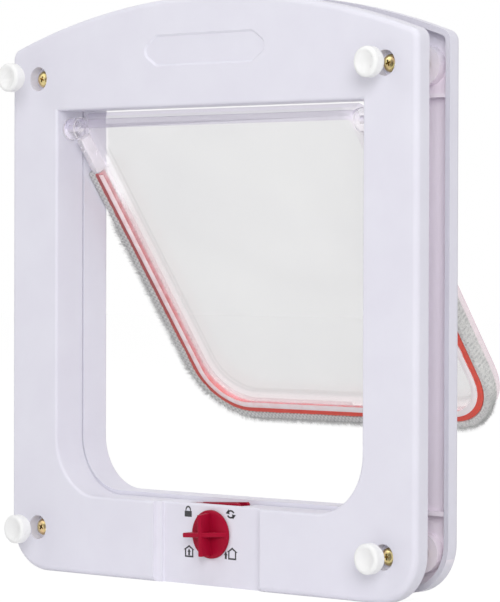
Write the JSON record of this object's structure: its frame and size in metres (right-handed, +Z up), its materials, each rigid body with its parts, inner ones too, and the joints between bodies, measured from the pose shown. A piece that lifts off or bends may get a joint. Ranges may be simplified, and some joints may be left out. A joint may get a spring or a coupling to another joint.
{
  "type": "cat flap",
  "caption": "Arched moulded cat flap that clamps through a door: a clear top-hung flap edged with pile swings both ways in a lined passage, and a knob under the sill turns cams that lock it.",
  "frame": {"origin": "middle of the four door screws, on the plane where the room frame's rim meets the door", "axes": "+X right seen from the room, +Y through the door from the room to the outdoors, +Z up"},
  "size_m": [0.235, 0.1243, 0.2503],
  "materials": {
    "white_plastic": "satin moulded white",
    "plug_white": "smooth white",
    "clear_plastic": "clear",
    "red_plastic": "satin red",
    "red_tape": "foam tape",
    "grey_pile": "woven pile",
    "zinc_steel": "yellow passivated zinc",
    "pin_steel": "plain drawn"
  },
  "bodies": {
    "frame": {"inner_frame": "white_plastic", "outer_frame": "white_plastic", "frame_screws": "zinc_steel", "hinge_pins": "pin_steel"},
    "flap": {"flap_panel": "clear_plastic", "seal_tape": "red_tape", "pile_seal": "grey_pile"},
    "lock": {"lock_knob": "red_plastic", "lock_cams": "red_plastic", "lock_screw": "zinc_steel"},
    "plug_top_left": {"plug_top_left": "plug_white"},
    "plug_top_right": {"plug_top_right": "plug_white"},
    "plug_low_left": {"plug_low_left": "plug_white"},
    "plug_low_right": {"plug_low_right": "plug_white"}
  },
  "joints": [
    {"name": "flap_hinge", "type": "hinge", "parent": "frame", "child": "flap", "pos_m": [0, 0.0005, 0.0772], "axis": [1, 0, 0], "range_deg": [-116, 44]},
    {"name": "lock_turn", "type": "hinge", "parent": "frame", "child": "lock", "pos_m": [0.0022, 0, -0.0963], "axis": [0, 1, 0], "continuous": true},
    {"name": "top_left_plug_push", "type": "slide", "parent": "frame", "child": "plug_top_left", "axis": [0, 1, 0], "range_m": [0, 0.0148]},
    {"name": "top_right_plug_push", "type": "slide", "parent": "frame", "child": "plug_top_right", "axis": [0, 1, 0], "range_m": [0, 0.0082]},
    {"name": "low_left_plug_push", "type": "slide", "parent": "frame", "child": "plug_low_left", "axis": [0, 1, 0], "range_m": [0, 0.0107]},
    {"name": "low_right_plug_push", "type": "slide", "parent": "frame", "child": "plug_low_right", "axis": [0, 1, 0], "range_m": [0, 0.0069]}
  ]
}
